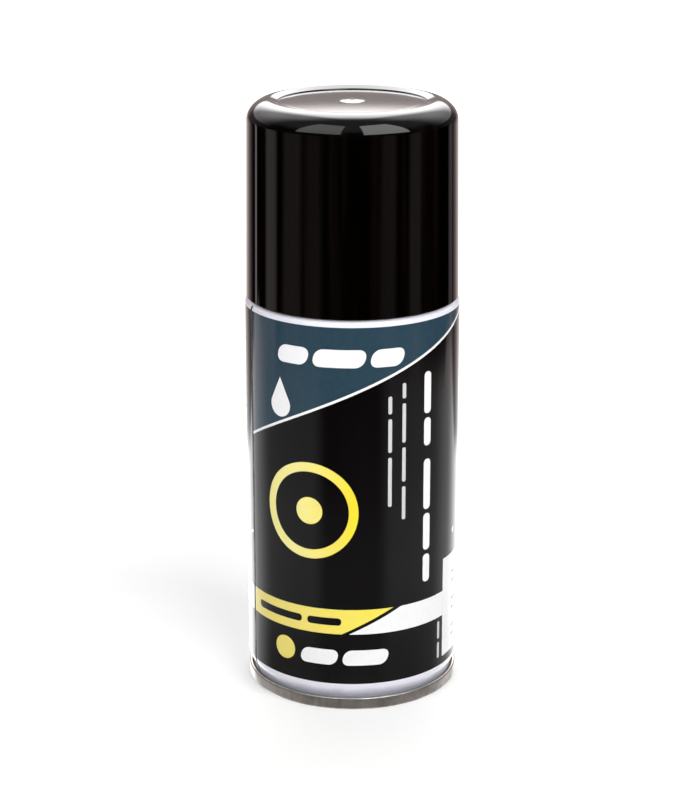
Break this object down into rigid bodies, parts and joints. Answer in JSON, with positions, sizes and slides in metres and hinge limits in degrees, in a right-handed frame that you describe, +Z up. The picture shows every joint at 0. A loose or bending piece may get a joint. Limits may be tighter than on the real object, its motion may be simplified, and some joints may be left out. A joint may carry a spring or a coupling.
{
  "type": "lens cleaning spray",
  "caption": "Necked-in metal aerosol can for lens cleaner: seamed domed ends, crimped valve with dip tube, press-down spray button and lift-off gloss black overcap.",
  "frame": {"origin": "centre of the ring that the can stands on, at floor level", "axes": "+Z up along the can's axis; -Y is the label's front and the side that the nozzle faces at rest; +X is to the right when the label is read"},
  "size_m": [0.0524, 0.0524, 0.1465],
  "materials": {
    "can_print": "printed and varnished tinplate, satin gloss",
    "tinplate": "bare tinplate, slightly scuffed",
    "seam_compound": "cured sealing compound",
    "cup_tinplate": "bright tinplate",
    "gasket_rubber": "matt",
    "valve_plastic": "natural moulded plastic",
    "spring_steel": "drawn wire",
    "tube_plastic": "milky extruded plastic",
    "button_plastic": "moulded, satin gloss",
    "insert_plastic": "moulded",
    "cap_plastic": "mirror gloss moulding"
  },
  "bodies": {
    "can": {"can_body": "can_print", "bottom_end": "tinplate", "bottom_seam_compound": "seam_compound", "top_cone": "tinplate", "top_seam_compound": "seam_compound", "mounting_cup": "cup_tinplate", "cup_gasket": "gasket_rubber", "stem_gasket": "gasket_rubber", "valve_housing": "valve_plastic", "valve_spring": "spring_steel", "dip_tube": "tube_plastic"},
    "stem": {"valve_stem": "valve_plastic"},
    "button": {"actuator": "button_plastic", "nozzle_insert": "insert_plastic"},
    "cap": {"overcap": "cap_plastic"}
  },
  "joints": [
    {"name": "stem_press", "type": "slide", "parent": "can", "child": "stem", "axis": [0, 0, -1], "range_m": [0, 0.0011], "stiffness_N_per_m": 1200, "deforming": ["valve_spring"]},
    {"name": "actuator_turn", "type": "hinge", "parent": "stem", "child": "button", "pos_m": [0, 0, 0.118], "axis": [0, 0, 1], "continuous": true},
    {"name": "overcap_lift", "type": "slide", "parent": "can", "child": "cap", "axis": [0, 0, 1], "range_m": [0, 0.06]}
  ]
}
